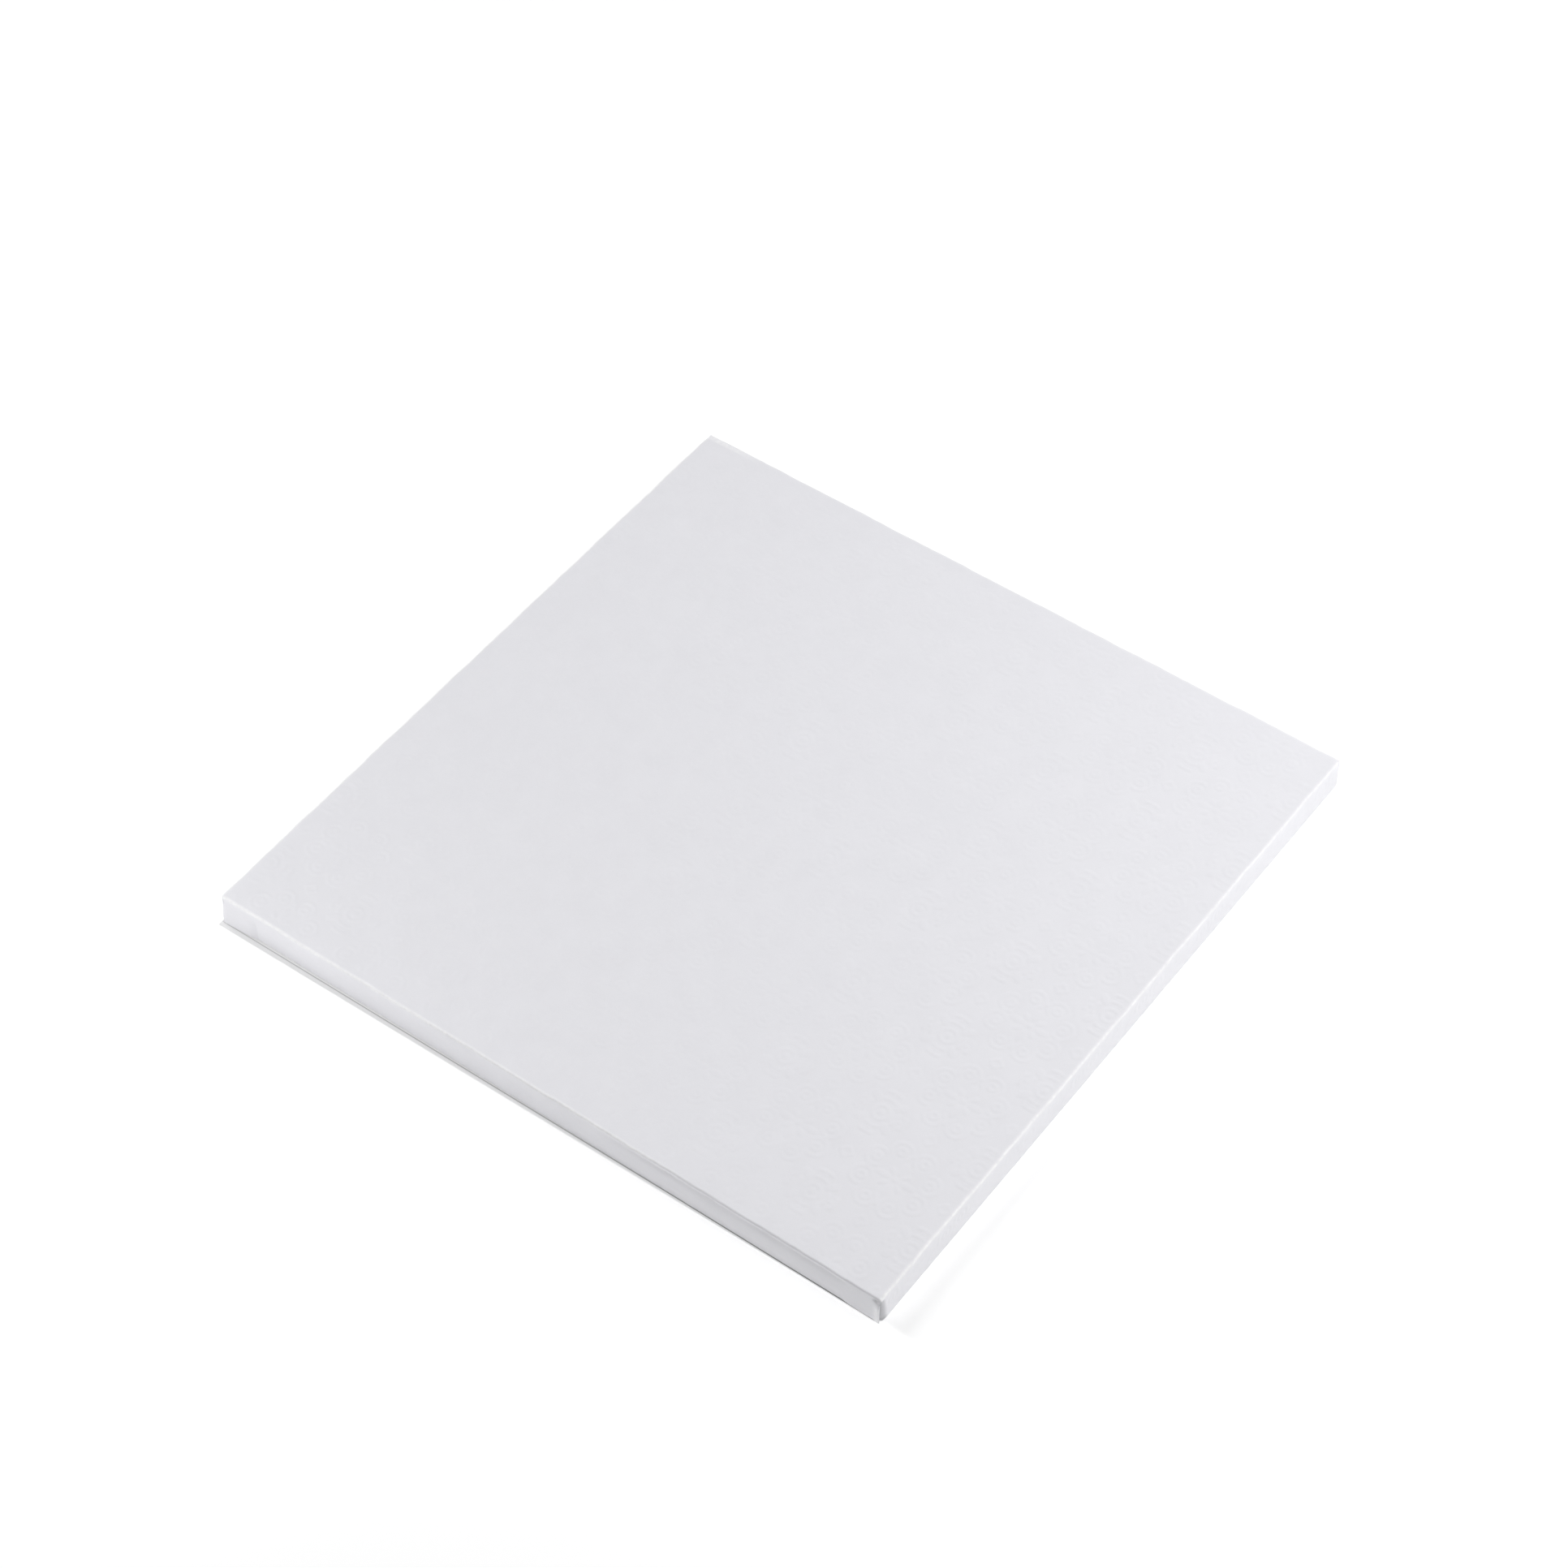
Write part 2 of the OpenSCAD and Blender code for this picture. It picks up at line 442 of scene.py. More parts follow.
def fold_profiles():
    """Rows down a flap: distance out, height, normal out, normal up, paper used so far."""
    turn = np.linspace(0, math.pi / 2, FOLD_CELLS + 1)
    sine = np.sin(turn)
    cosine = np.cos(turn)
    flat = np.ones(SIDE_CELLS + 1)
    crease = [PANEL + CREASE_R * sine, TOP - CREASE_R + CREASE_R * cosine,
              sine, cosine, CREASE_R * turn]
    height = np.linspace(TOP - CREASE_R, UNDER + HEM_R, SIDE_CELLS + 1)
    paper = crease[4][-1] + height[0] - height
    side = [HALF * flat, height, flat, 0 * flat, paper]
    hem = [HALF - HEM_R + HEM_R * cosine, UNDER + HEM_R - HEM_R * sine,
           cosine, -sine, paper[-1] + HEM_R * turn]
    inward = np.linspace(0, TURN_IN - HEM_R, TURN_CELLS + 1)
    level = np.ones(TURN_CELLS + 1)
    turned = [HALF - HEM_R - inward, UNDER * level, 0 * level, -level, hem[4][-1] + inward]
    return [np.array(rows).T for rows in (crease, side, hem, turned)]


def quarter_turned(points, turns):
    """Turns points or vectors about Z by quarter turns."""
    for _ in range(turns):
        swapped = [-points[..., 1:2], points[..., 0:1], points[..., 2:]]
        points = np.concatenate(swapped, -1)
    return points


# Wear and painted light on the coating: 1 is burnished and painted highlight, -1 is painted
# shade. Depths are below the top fold.
BURNISH_AND_HIGHLIGHT_WIDTH = 0.55                  # half width of the burnished line with its painted highlight, as a share of the fold's arc
FRONT_FADE = (20 * MM, 75 * MM)    # along X, where the burnished line and its painted highlight on the -Y side fade out
BACK_FADE = 0.4                    # share that the burnished line and its painted highlight on the +X side lose towards +Y
FLAP_END = (3.2 * MM, 1.5 * MM)    # from the right corner: the -Y flap's end starts, is full
FLAP_END_HIGHLIGHT = 0.5                # strength of the painted highlight on that end
MARGIN = (2.2 * MM, 1.4 * MM)      # from the +Y fold: a paler margin of the panel
MARGIN_FADE = (9 * MM, 24 * MM)    # from the left corner, where the margin fades out
# how much paler that margin is, mixed towards the burnish colour
MARGIN_PALENESS = 0.5
RIGHT_NOOK = (0.9 * MM, 0.8 * MM, 0.9)     # nook by the right end: depth, spread, strength of its painted shade
LEFT_NOOK = (1.2 * MM, 1.2 * MM, 0.5)      # and by the left end
TAB_SHADE = 0.12                   # painted shade over the left tab's end
HOLLOW_WIDTH = (0.8 * MM, 2.6 * MM)        # of the painted shade in the hollow: at the fold, and more below
HOLLOW_SHADE = (0.66, 0.3)          # strength of that painted shade, and how much more at its foot


def nook_painted_shade(x, y, depth):
    """Painted shade on the cover, 0 to 1: by the flaps' cut ends, over one tab's end and in the
    hollow at the +X -Y corner.
    """
    on_front = (-y > abs(x)) * 1.0
    past_left = HALF + x
    right_end = smooth(x, HALF - FLAP_END[0], HALF - FLAP_END[1])
    right_end = right_end * bump(depth, *RIGHT_NOOK[:2])
    left_end = smooth(-past_left, -0.9 * MM, -0.3 * MM) * bump(depth, *LEFT_NOOK[:2])
    over_tab = np.clip((past_left - TAB + 2 * MM) / (3.5 * MM), 0, 1)
    over_tab = over_tab * (past_left < TAB + 1.7 * MM) * smooth(depth, 2 * MM, 5 * MM)
    width = HOLLOW_WIDTH[0] + HOLLOW_WIDTH[1] * hollow_share(depth)
    hollow = (x > HALF) * smooth(-y, PANEL - width, PANEL - 0.3 * width)
    hollow = hollow * smooth(depth, 0.1 * MM, 0.9 * MM)
    foot = smooth(depth, 9.5 * MM, 11 * MM)
    hollow = hollow * (HOLLOW_SHADE[0] + HOLLOW_SHADE[1] * foot)
    ends = RIGHT_NOOK[2] * right_end + LEFT_NOOK[2] * left_end + TAB_SHADE * over_tab
    return on_front * ends + hollow


def fold_wear_and_painted_light(flat):
    """Wear and painted light: up to 1, burnish with painted highlight along folds and a painted
    highlight on one flap's end; down to -1, painted shade, in nooks.
    """
    arc = CREASE_R * math.pi / 2
    paper = abs(flat).max(axis=-1) - PANEL
    x = flat[..., 0]
    y = flat[..., 1]
    on_front = (-y > abs(x)) * 1.0
    fades = 1 - smooth(x, *FRONT_FADE) * on_front
    fades = fades * (1 - BACK_FADE * (y + HALF) / (2 * HALF) * (x > abs(y)))
    # Painted highlight on the -Y flap's right end.
    flap_end_highlight = on_front * smooth(x, HALF - FLAP_END[0], HALF - FLAP_END[1])
    flap_end_highlight = flap_end_highlight * smooth(paper, 4 * MM, 6 * MM)
    margin = smooth(y, PANEL - MARGIN[0], PANEL - MARGIN[1])
    margin = margin * (1 - smooth(x + HALF, *MARGIN_FADE)) * (paper < 0)
    # The burnished line along the folds: partly wear, partly painted highlight.
    burnish_and_painted_highlight = np.exp(-((paper - 0.5 * arc) / (BURNISH_AND_HIGHLIGHT_WIDTH * arc)) ** 2) * fades
    burnish_and_painted_highlight = np.minimum(burnish_and_painted_highlight + FLAP_END_HIGHLIGHT * flap_end_highlight + MARGIN_PALENESS * margin, 1)
    # Painted shade in the nooks, over the tab's end and in the hollow at the +X -Y corner.
    painted_shade = nook_painted_shade(x, y, paper - arc)
    return burnish_and_painted_highlight * (1 - np.minimum(painted_shade, 1)) - painted_shade


def add_patch(skin, base, normal, flat, layer, step, cuts=()):
    """One patch of the cover, from its ideal face, its normals and its flat places."""
    outer = base + normal * emboss(flat)[..., None]
    inner = base - normal * SHEET
    skin.grid(strayed(outer, layer), strayed(inner, layer), step, cuts, fold_wear_and_painted_light(flat))


def add_flap_part(skin, profile, along, turns, layer, step, cuts=()):
    """Part of a flap: a profile's rows, run along an edge."""
    shape = (len(profile), along.shape[-1])
    along = np.broadcast_to(along, shape)
    out, height, normal_out, normal_up, paper = [
        np.broadcast_to(column[:, None], shape) for column in profile.T]
    base = np.stack([out, along, height], -1)
    normal = np.stack([normal_out, 0 * out, normal_up], -1)
    flat = np.stack([PANEL + paper, along], -1)
    base, normal, flat = [quarter_turned(v, turns) for v in (base, normal, flat)]
    add_patch(skin, base, normal, flat, layer, step, cuts)


def add_panel(skin, columns):
    x, y = np.meshgrid(columns, columns, indexing="ij")
    base = np.stack([x, y, TOP + 0 * x], -1)
    normal = np.zeros_like(base)
    normal[..., 2] = 1
    add_patch(skin, base, normal, base[..., :2], "panel", (COARSE, COARSE))


def add_flap(skin, profiles, columns, turns):
    """A whole flap: fold, side, hem and mitred turn-in."""
    crease, side, hem, turned = profiles
    tucked = turns % 2 == 0
    layer = "tucked" if tucked else "over"
    hem_cuts = ("first_column", "last_column") if tucked else ()
    add_flap_part(skin, crease, columns, turns, "panel", (FOLD_CELLS, COARSE))
    add_flap_part(skin, side, columns, turns, layer, (SIDE_COARSE, COARSE))
    add_flap_part(skin, hem, columns, turns, layer, (FOLD_CELLS, COARSE), hem_cuts)
    reach = np.minimum(PANEL, turned[:, 0] - MITRE)
    reach[0] = PANEL
    along = columns[None, :] * (reach / PANEL)[:, None]
    cuts = ("first_column", "last_column", "last_row")
    add_flap_part(skin, turned, along, turns, layer, (TURN_CELLS // 3, COARSE), cuts)
    if not tucked:
        strip = np.concatenate([side, hem[1:]])
        for end in (-1, 1):
            along = end * np.linspace(PANEL, TAB_PLANE, 2)
            cuts = ("first_row", "last_row", "last_column")
            add_flap_part(skin, strip, along, turns, layer, (FOLD_CELLS, 1), cuts)


def add_corner(skin, profiles, sx, sy):
    """Fold cap, upright bend and tucked tab at one corner."""
    crease, side = profiles[:2]
    sign = np.array([sx, sy, 1.0])
    turn = np.linspace(0, math.pi / 2, FOLD_CELLS + 1)[None, :]
    out = crease[:, 0:1] - PANEL
    height = crease[:, 1:2] + 0 * turn
    paper = crease[:, 4:5]
    normal_out = crease[:, 2:3]
    normal_up = crease[:, 3:4] + 0 * turn
    cap = np.stack([PANEL + out * np.cos(turn), PANEL + out * np.sin(turn), height], -1)
    normal = np.stack([normal_out * np.cos(turn), normal_out * np.sin(turn), normal_up], -1)
    flat = np.stack([PANEL + paper * np.cos(turn), PANEL + paper * np.sin(turn)], -1)
    add_patch(skin, cap * sign, normal * sign, flat * sign[:2], "panel",
              (FOLD_CELLS, FOLD_CELLS), ("last_row",))

    height = side[:, 1:2] + 0 * turn
    flat_x = PANEL + side[:, 4:5] + 0 * turn
    centre_x = HALF - BEND_R
    bend = np.stack([centre_x + BEND_R * np.cos(turn) + 0 * height,
                     PANEL + BEND_R * np.sin(turn) + 0 * height, height], -1)
    normal = np.stack([np.cos(turn) + 0 * height, np.sin(turn) + 0 * height, 0 * height], -1)
    flat = np.stack([flat_x, PANEL + BEND_R * turn + 0 * height], -1)
    add_patch(skin, bend * sign, normal * sign, flat * sign[:2], "tucked",
              (SIDE_COARSE, FOLD_CELLS), ("first_row", "last_row"))

    cells = 24
    inward = np.linspace(0, TAB - BEND_R, cells + 1)[None, :]
    height = side[:, 1:2] + 0 * inward
    tab = np.stack([centre_x - inward + 0 * height, TAB_PLANE + 0 * height, height], -1)
    normal = np.zeros_like(tab)
    normal[..., 1] = 1
    flat = np.stack([PANEL + side[:, 4:5] + 0 * inward,
                     PANEL + BEND_R * math.pi / 2 + inward + 0 * height], -1)
    add_patch(skin, tab * sign, normal * sign, flat * sign[:2], "tucked",
              (SIDE_COARSE, COARSE), ("first_row", "last_row", "last_column"))


def cover_mesh():
    skin = Skin()
    profiles = fold_profiles()
    columns = np.linspace(-PANEL, PANEL, EDGE_CELLS + 1)
    add_panel(skin, columns)
    for turns in range(4):
        add_flap(skin, profiles, columns, turns)
    for sx, sy in CORNER_ROUNDING:
        add_corner(skin, profiles, sx, sy)
    return skin.mesh("cover")


# ---- Lining sheet ------------------------------------------------------------------------

LINING_ROUND = 2.0 * MM        # radius of the lining's cut corners
LINING_STEP = 2.0 * MM         # width of the slope where it sinks inside the turn-ins


def lining_mesh():
    """Thin sheet over the underside, which sinks to the core inside the turn-ins."""
    half = LINING_HIGH.x
    window = HALF - TURN_IN
    fine = np.linspace(window - 2 * LINING_STEP, window + LINING_STEP, 13)
    edge = np.linspace(fine[-1], half, 17)[1:]
    middle = np.linspace(0, fine[0], 25)[:-1]
    places = np.concatenate([middle, fine, edge])
    places = np.concatenate([-places[:0:-1], places])
    x, y = np.meshgrid(places, places, indexing="ij")
    flat = half - LINING_ROUND
    past_x = np.clip(abs(x) - flat, 0, None)
    past_y = np.clip(abs(y) - flat, 0, None)
    squeeze = np.maximum(past_x, past_y) / np.maximum(np.hypot(past_x, past_y), 1e-9)
    both = (past_x > 0) & (past_y > 0)
    x = np.where(both, np.sign(x) * (flat + past_x * squeeze), x)
    y = np.where(both, np.sign(y) * (flat + past_y * squeeze), y)
    inside = HALF - TURN_IN - np.maximum(abs(x), abs(y))
    wrinkle = 0.03 * MM * ripple(x * 0.7 + y * 0.2, 1.3) * ripple(y * 0.6 - x * 0.3, 2.9)
    sunk = SHEET * smooth(inside, -LINING_STEP * 0.2, LINING_STEP)
    lift = sunk + wrinkle * smooth(inside, LINING_STEP, 8 * LINING_STEP)
    lift = np.clip(lift, 0, SHEET)
    skin = Skin()
    lower = np.stack([x, y, LINING_LOW.z + lift], -1)
    upper = np.stack([x, y, LINING_HIGH.z + lift], -1)
    cuts = ("first_row", "last_row", "first_column", "last_column")
    skin.grid(lower, upper, (1, 1), cuts)
    return skin.mesh("lining")


# ---- Corrugated core ---------------------------------------------------------------------

def core_mesh(node):
    """The CAD node's mesh, crushed at the board's edges and corners like the real core."""
    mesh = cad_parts[node].data.copy()
    weld(mesh)
    points = np.empty(len(mesh.vertices) * 3, np.float32)
    mesh.vertices.foreach_get("co", points)
    moved = strayed(points.reshape(-1, 3), "core")
    mesh.vertices.foreach_set("co", moved.astype(np.float32).ravel())
    mesh.update()
    mesh.shade_smooth()
    mesh.set_sharp_from_angle(angle=math.radians(40))
    return mesh


# ---- Materials ---------------------------------------------------------------------------

def new_material(name):
    """A material with an empty Principled shader; returns it with its tree and shader."""
    material = bpy.data.materials.new(name)
    material.use_nodes = True
    tree = material.node_tree
    shader = tree.nodes["Principled BSDF"]
    return material, tree, shader


def noise(tree, coordinates, size, detail=3.0, roughness=0.55):
    """Noise with features of about one size, in metres. Returns its value's socket."""
    node = tree.nodes.new("ShaderNodeTexNoise")
    node.inputs["Scale"].default_value = 1 / size
    node.inputs["Detail"].default_value = detail
    node.inputs["Roughness"].default_value = roughness
    tree.links.new(coordinates, node.inputs["Vector"])
    return node.outputs["Fac"]


def spread(tree, value, low, high):
    """Maps a noise value, mostly 0.3 to 0.7, onto low to high."""
    node = tree.nodes.new("ShaderNodeMapRange")
    node.inputs["From Min"].default_value = 0.3
    node.inputs["From Max"].default_value = 0.7
    node.inputs["To Min"].default_value = low
    node.inputs["To Max"].default_value = high
    tree.links.new(value, node.inputs["Value"])
    return node.outputs["Result"]


def mixed_colour(tree, factor, first, second):
    """Mix from a colour, or a socket that gives one, to a second colour."""
    node = tree.nodes.new("ShaderNodeMix")
    node.data_type = "RGBA"
    if isinstance(first, tuple):
        node.inputs["A"].default_value = (*first, 1)
    else:
        tree.links.new(first, node.inputs["A"])
    node.inputs["B"].default_value = (*second, 1)
    tree.links.new(factor, node.inputs["Factor"])
    return node.outputs["Result"]


def bumped(tree, height, depth, under=None):
    """Bump of a real depth in metres, on top of another bump if given."""
    node = tree.nodes.new("ShaderNodeBump")
    node.inputs["Strength"].default_value = 1.0
    node.inputs["Distance"].default_value = depth
    tree.links.new(height, node.inputs["Height"])
    if under is not None:
        tree.links.new(under, node.inputs["Normal"])
    return node.outputs["Normal"]


def ramp(tree, value, start, end, low, high, kind="SMOOTHSTEP"):
    """Ramp of a value: low at start, high at end."""
    node = tree.nodes.new("ShaderNodeMapRange")
    node.interpolation_type = kind
    node.inputs["From Min"].default_value = start
    node.inputs["From Max"].default_value = end
    node.inputs["To Min"].default_value = low
    node.inputs["To Max"].default_value = high
    tree.links.new(value, node.inputs["Value"])
    return node.outputs["Result"]


def calculate(tree, operation, first, second=None):
    """A math node on sockets or plain numbers."""
    node = tree.nodes.new("ShaderNodeMath")
    node.operation = operation
    for socket, value in zip(node.inputs, (first, second)):
        if isinstance(value, (int, float)):
            socket.default_value = value
        elif value is not None:
            tree.links.new(value, socket)
    return node.outputs[0]


def clamped_product(tree, first, second):
    """Product of a socket and a socket or number, held to 0 to 1."""
    product = calculate(tree, "MULTIPLY", first, second)
    product.node.use_clamp = True
    return product


CLOUD_SIZE = 9 * MM      # size of the clouds in every paper's tone
GLOSS_SIZE = 2.5 * MM    # and of its glossier patches
FIBRE_SIZE = 1.6 * MM    # and of its coarser fibres


def paper_material(name, light, dark, rough, grain_size, grain_depth, stretch=(1, 1, 1)):
    """Paper: cloudy tone, a fibre grain in tone and relief, and uneven gloss."""
    material, tree, shader = new_material(name)
    place = tree.nodes.new("ShaderNodeTexCoord")
    mapping = tree.nodes.new("ShaderNodeMapping")
    mapping.inputs["Scale"].default_value = stretch
    tree.links.new(place.outputs["Object"], mapping.inputs["Vector"])
    where = mapping.outputs["Vector"]
    cloud = noise(tree, where, CLOUD_SIZE, 4)
    grain = noise(tree, where, grain_size, 3)
    tone = tree.nodes.new("ShaderNodeMath")
    tone.operation = "MULTIPLY_ADD"
    tree.links.new(spread(tree, grain, 0, 1), tone.inputs[0])
    tone.inputs[1].default_value = 0.5
    tree.links.new(spread(tree, cloud, 0, 0.5), tone.inputs[2])
    colour = mixed_colour(tree, tone.outputs[0], light, dark)
    tree.links.new(colour, shader.inputs["Base Color"])
    gloss = spread(tree, noise(tree, where, GLOSS_SIZE, 2), rough[0], rough[1])
    tree.links.new(gloss, shader.inputs["Roughness"])
    fibre = bumped(tree, noise(tree, where, FIBRE_SIZE, 2), grain_depth * 1.5)
    fibre = bumped(tree, grain, grain_depth, fibre)
    tree.links.new(fibre, shader.inputs["Normal"])
    return material, shader


BURNISH_AND_HIGHLIGHT_WHITE = (0.97, 0.97, 0.975)    # colour of the cover where it is burnished along the folds with a painted highlight, and of the painted highlight on the -Y flap's end
BURNISHED_ROUGHNESS = 0.3
PAINTED_SHADE_COLOUR = (0.42, 0.42, 0.44)        # and colour of the painted shade in its nooks


def embossed_paper():
    """White coated paper, burnished to a brighter white along its worn folds, which also paints
    in their highlight, with painted shade in nooks.
    """
    material, shader = paper_material(
        "embossed_paper", (0.814, 0.812, 0.846), (0.784, 0.782, 0.816), (0.36, 0.48),
        0.45 * MM, 0.006 * MM)
    shader.inputs["Specular IOR Level"].default_value = 0.5
    tree = material.node_tree
    place = tree.nodes.new("ShaderNodeTexCoord")
    wear_and_painted_light = tree.nodes.new("ShaderNodeAttribute")
    wear_and_painted_light.attribute_name = "wear_and_painted_light"
    patchy = spread(tree, noise(tree, place.outputs["Object"], 1.1 * MM, 2), 0.5, 1.1)
    ragged = clamped_product(tree, wear_and_painted_light.outputs["Fac"], patchy)
    # Painted shade where the attribute is below 0.
    painted_shade = clamped_product(tree, wear_and_painted_light.outputs["Fac"], -1)
    # Mixes in the burnish with its painted highlight, then the painted shade.
    colour = shader.inputs["Base Color"].links[0].from_socket
    colour = mixed_colour(tree, ragged, colour, BURNISH_AND_HIGHLIGHT_WHITE)
    colour = mixed_colour(tree, painted_shade, colour, PAINTED_SHADE_COLOUR)
    tree.links.new(colour, shader.inputs["Base Color"])
    gloss = tree.nodes.new("ShaderNodeMix")
    tree.links.new(ragged, gloss.inputs["Factor"])
    tree.links.new(shader.inputs["Roughness"].links[0].from_socket, gloss.inputs["A"])
    gloss.inputs["B"].default_value = BURNISHED_ROUGHNESS
    tree.links.new(gloss.outputs["Result"], shader.inputs["Roughness"])
    return material


def lining_paper():
    material, shader = paper_material(
        "lining_paper", (0.78, 0.78, 0.765), (0.70, 0.70, 0.69), (0.62, 0.78),
        0.5 * MM, 0.012 * MM)
    shader.inputs["Specular IOR Level"].default_value = 0.35
    return material


def kraft_paper(name, light, dark, stretch):
    material, shader = paper_material(
        name, light, dark, (0.7, 0.9), 0.6 * MM, 0.02 * MM, stretch)
    shader.inputs["Specular IOR Level"].default_value = 0.25
    return material


# ---- Build the board ---------------------------------------------------------------------

make_piece("cover", cover_mesh(), embossed_paper(), "cover_sheet")
make_piece("lining", lining_mesh(), lining_paper(), "lining_sheet")
kraft_liner = kraft_paper("kraft_liner", (0.50, 0.33, 0.17), (0.40, 0.25, 0.12), (1, 0.2, 1))
kraft_medium = kraft_paper("kraft_medium", (0.40, 0.25, 0.12), (0.31, 0.18, 0.08), (1, 1, 1))
for node in CORE_NODES:
    is_liner = node.endswith("liner")
    material = kraft_liner if is_liner else kraft_medium
    make_piece(node + "_paper", core_mesh(node), material, node)

# ---- Camera ------------------------------------------------------------------------------

SIDE = 2 * HALF
SENSOR_WIDTH = 36.0
LENS = 90.0
CAMERA_HEADING = math.radians(127.12)     # which way it looks, anticlockwise from +X
CAMERA_DIP = math.radians(49.60)          # how far down it looks
CAMERA_ROLL = math.radians(-0.85)
CAMERA_DISTANCE = 4.939 * SIDE
CAMERA_AIM = Vector((-0.0457 * SIDE, 0.0536 * SIDE, TOP))


def add_camera():
    level = math.cos(CAMERA_DIP)
    forward = Vector((level * math.cos(CAMERA_HEADING), level * math.sin(CAMERA_HEADING),
                      -math.sin(CAMERA_DIP)))
    right = forward.cross(Vector((0, 0, 1))).normalized()
    up = right.cross(forward)
    rolled_right = right * math.cos(CAMERA_ROLL) + up * math.sin(CAMERA_ROLL)
    rolled_up = up * math.cos(CAMERA_ROLL) - right * math.sin(CAMERA_ROLL)
    data = bpy.data.cameras.new("camera")
    data.sensor_width = SENSOR_WIDTH
    data.lens = LENS
    data.clip_start = 0.05
    data.clip_end = 50
    camera = bpy.data.objects.new("camera", data)
    axes = Matrix((rolled_right, rolled_up, -forward)).transposed()
    place = CAMERA_AIM - forward * CAMERA_DISTANCE
    camera.matrix_world = Matrix.Translation(place) @ axes.to_4x4()
    bpy.context.scene.collection.objects.link(camera)
    bpy.context.scene.camera = camera


# ---- Floor, light and view ---------------------------------------------------------------

FLOOR_REACH = 12.0
FLOOR_GLOW = 0.325         # light given off near the board, on top of what the lamps add
FAR_GLOW = 1.0             # light given off far away, out of the lamps' reach
GLOW_RUN = (0.2, 1.2)      # metres past the board's edge, from the near glow to the far one
FLOOR_WHITE = (0.8, 0.8, 0.8)
FLOOR_SHADED = (0.2, 0.2, 0.2)     # the floor's colour where it loses all its light
SHADE_GLOW = 0.36          # more light where the key lamp's shadow falls beside the board
SHADE_LEFT = 0.6           # share of that at the board's left end
SHADE_REACH = 13 * MM

# Dark contact line along the -Y side, and the paler shadow before it. A pair is the value at
# the left and at the right.
CONTACT_INSET = (-0.5 * MM, 0.35 * MM)     # from the board's edge in to the darkest line
CONTACT_WIDTH = 0.55 * MM                  # from there to where it has faded out
CONTACT_LOST = (0.60, 0.92)                # share of the light that the line loses
SHADOW_REACH = (2.3 * MM, 0.1 * MM)        # how far the shadow reaches out on the floor
SHADOW_EDGE = 0.2 * MM                     # softness of its edge
SHADOW_LOST = 0.33                         # share of the light that it loses
SHADOW_START = (-9 * MM, -4 * MM)          # out from the edge: under the board it fades in
SHADOW_SHIFT = 0.8 * MM                    # how far both are shifted along -X


def shade_glow(tree, x, y, past):
    """Evens out the shadow beside the board's -X and -Y sides. Fades out to the left."""
    near = ramp(tree, past, 0, SHADE_REACH, SHADE_GLOW, 0, "LINEAR")
    left = ramp(tree, x, -HALF, HALF, SHADE_LEFT, 1.0, "LINEAR")
    shaded = calculate(tree, "MINIMUM", x, y)
    shaded = ramp(tree, shaded, -HALF, -HALF + 2 * MM, 1, 0, "LINEAR")
    return calculate(tree, "MULTIPLY", calculate(tree, "MULTIPLY", near, left), shaded)


def contact_shade(tree, x, y):
    """Share of the floor's light left along the board's -Y side. 1 away from it."""
    before = calculate(tree, "SUBTRACT", calculate(tree, "MULTIPLY", y, -1), HALF)
    inset = ramp(tree, x, -HALF, 0.4 * HALF, *CONTACT_INSET, "LINEAR")
    off_line = calculate(tree, "ABSOLUTE", calculate(tree, "ADD", before, inset))
    line = calculate(tree, "MULTIPLY", ramp(tree, off_line, 0, CONTACT_WIDTH, 1, 0),
                     ramp(tree, x, -HALF, HALF, *CONTACT_LOST, "LINEAR"))
    reach = ramp(tree, x, -HALF, 0.8 * HALF, *SHADOW_REACH, "LINEAR")
    inside = calculate(tree, "SUBTRACT", reach, before)
    shadow = ramp(tree, inside, -0.5 * SHADOW_EDGE, 0.5 * SHADOW_EDGE, 0, SHADOW_LOST)
    shadow = calculate(tree, "MULTIPLY", shadow, ramp(tree, before, *SHADOW_START, 0, 1))
    lost = calculate(tree, "MAXIMUM", line, shadow)
    along = calculate(tree, "ABSOLUTE", calculate(tree, "ADD", x, SHADOW_SHIFT))
    beside = ramp(tree, along, HALF - SHADOW_EDGE, HALF + SHADOW_EDGE, 1, 0)
    return calculate(tree, "SUBTRACT", 1, calculate(tree, "MULTIPLY", lost, beside))


def add_floor():
    """Plain white floor that glows a little, so that it stays white round the board."""
    mesh = bpy.data.meshes.new("floor")
    reach = FLOOR_REACH
    corners = [(-reach, -reach, 0), (reach, -reach, 0), (reach, reach, 0), (-reach, reach, 0)]
    mesh.from_pydata(corners, [], [(0, 1, 2, 3)])
    floor = bpy.data.objects.new("floor", mesh)
    material, tree, shader = new_material("floor_white")
    shader.inputs["Roughness"].default_value = 0.9
    shader.inputs["Specular IOR Level"].default_value = 0.0
    shader.inputs["Emission Color"].default_value = (1, 1, 1, 1)
    place = tree.nodes.new("ShaderNodeTexCoord").outputs["Object"]
    parts = tree.nodes.new("ShaderNodeSeparateXYZ")
    tree.links.new(place, parts.inputs["Vector"])
    x = parts.outputs["X"]
    y = parts.outputs["Y"]
    across = calculate(tree, "MAXIMUM", calculate(tree, "ABSOLUTE", x),
                       calculate(tree, "ABSOLUTE", y))
    past = calculate(tree, "SUBTRACT", across, HALF)
    glow = ramp(tree, past, *GLOW_RUN, FLOOR_GLOW, FAR_GLOW)
    glow = calculate(tree, "ADD", glow, shade_glow(tree, x, y, past))
    clear = contact_shade(tree, x, y)
    glow = calculate(tree, "MULTIPLY", glow, clear)
    tree.links.new(glow, shader.inputs["Emission Strength"])
    colour = mixed_colour(tree, clear, FLOOR_SHADED, FLOOR_WHITE)
    tree.links.new(colour, shader.inputs["Base Color"])
    mesh.materials.append(material)
    bpy.context.scene.collection.objects.link(floor)


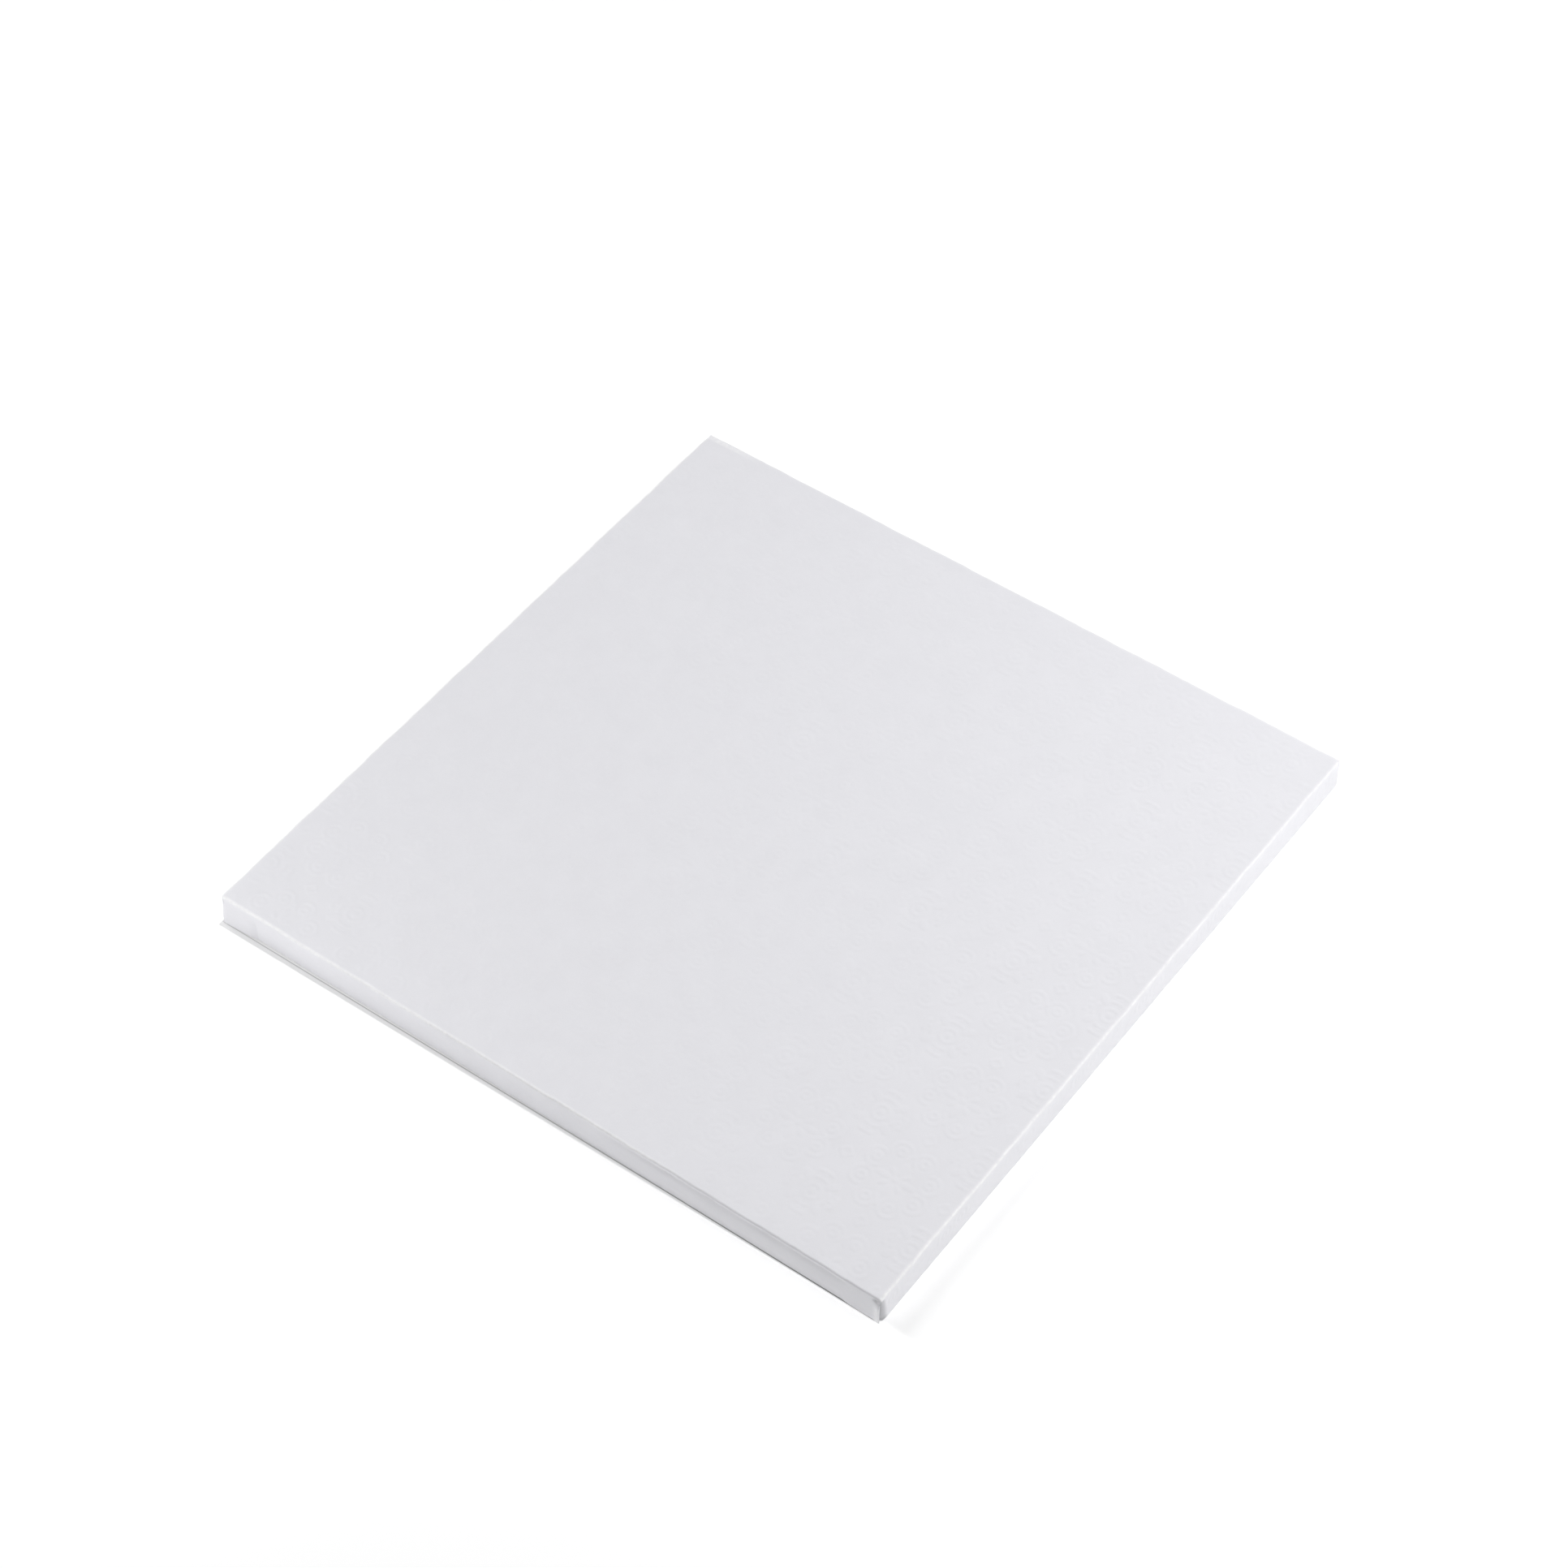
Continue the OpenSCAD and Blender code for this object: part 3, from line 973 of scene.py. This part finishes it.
# Soft boxes: name, heading and height of the box's place, in degrees, distance, size, watts.
SOFT_BOXES = (
    ("key", 30, 50, 1.0, 0.6, 5.95),
    ("low_right", 32, 26, 1.0, 0.4, 1.3),
    ("right", 60, 50, 1.0, 0.6, 1.0),
    ("left", 180, 50, 1.5, 0.8, 11.4),
    ("near_left", 240, 10, 0.4, 0.12, 0.25),
)
SKY_LOW = 1.0                # light of the surroundings at the horizon
SKY_HIGH = 0.03              # and above
SKY_LOW_END = (0.01, 0.08)   # upward part of the direction, where the low light fades out
SKY_BACK = 0.9               # light behind the board, towards -X +Y, where it reaches higher
SKY_BACK_START = (0.56, 0.92)    # Y less X of the direction, where it fades in
SKY_BACK_END = (0.22, 0.34)      # upward part, where it fades out


def add_soft_box(name, heading, height, distance, size, watts):
    data = bpy.data.lights.new(name, "AREA")
    data.shape = "SQUARE"
    data.size = size
    data.energy = watts
    light = bpy.data.objects.new(name, data)
    heading = math.radians(heading)
    height = math.radians(height)
    place = distance * Vector((math.cos(height) * math.cos(heading),
                               math.cos(height) * math.sin(heading), math.sin(height)))
    light.location = place
    light.rotation_mode = "QUATERNION"
    light.rotation_quaternion = (-place).to_track_quat("-Z", "Y")
    bpy.context.scene.collection.objects.link(light)


def set_world():
    """Pale surroundings at the horizon and behind the board, dim elsewhere."""
    world = bpy.data.worlds.new("world")
    world.use_nodes = True
    tree = world.node_tree
    background = tree.nodes["Background"]
    background.inputs["Color"].default_value = (1, 1, 1, 1)
    place = tree.nodes.new("ShaderNodeTexCoord")
    parts = tree.nodes.new("ShaderNodeSeparateXYZ")
    tree.links.new(place.outputs["Generated"], parts.inputs["Vector"])
    z = parts.outputs["Z"]
    low = ramp(tree, z, *SKY_LOW_END, SKY_LOW, SKY_HIGH)
    behind = calculate(tree, "SUBTRACT", parts.outputs["Y"], parts.outputs["X"])
    behind = ramp(tree, behind, *SKY_BACK_START, 0, SKY_BACK)
    back = calculate(tree, "MULTIPLY", behind, ramp(tree, z, *SKY_BACK_END, 1, 0))
    strength = calculate(tree, "MAXIMUM", low, back)
    tree.links.new(strength, background.inputs["Strength"])
    bpy.context.scene.world = world


add_camera()
add_floor()
for box in SOFT_BOXES:
    add_soft_box(*box)
set_world()
bpy.context.scene.view_settings.view_transform = "Standard"
